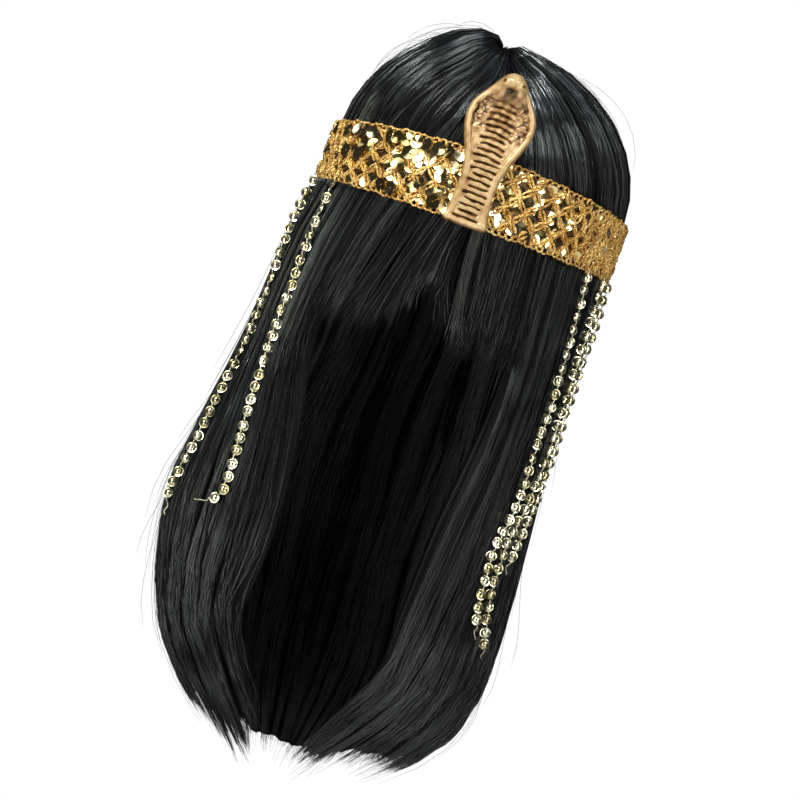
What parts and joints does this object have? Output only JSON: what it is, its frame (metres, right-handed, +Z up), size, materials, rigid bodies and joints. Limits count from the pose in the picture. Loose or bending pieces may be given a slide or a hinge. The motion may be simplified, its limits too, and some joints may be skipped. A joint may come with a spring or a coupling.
{
  "type": "egyptian queen costume wig",
  "caption": "Long straight black costume wig with a fringe, gold sequin headband, moulded cobra at the brow and strings of sequins hanging at the sides.",
  "frame": {"origin": "inside the cap on the crown, where the top of the wearer's head meets it", "axes": "+Z up along the wearer's head, -Y the way the face looks, +X to the right as seen from the front"},
  "size_m": [0.221, 0.2286, 0.4591],
  "materials": {
    "cap_net": "black knitted wig net",
    "black_hair": "near-black synthetic hair, straight, with a soft shine",
    "gold_sequin_trim": "gold foil sequins under a braided gold lattice, bright",
    "antique_gold_plastic": "moulded plastic with antique gold paint and dark brown in the recesses",
    "pale_gold_sequins": "pale gold cup sequins on a pale metallic thread"
  },
  "bodies": {
    "root": {"cap": "cap_net", "hair_left": "black_hair", "hair_right": "black_hair", "hair_back": "black_hair", "fringe": "black_hair", "headband": "gold_sequin_trim", "cobra": "antique_gold_plastic", "sequin_string_left_front": "pale_gold_sequins", "sequin_string_left_side": "pale_gold_sequins", "sequin_string_right_front": "pale_gold_sequins", "sequin_string_right_middle": "pale_gold_sequins", "sequin_string_right_side": "pale_gold_sequins"}
  },
  "joints": []
}
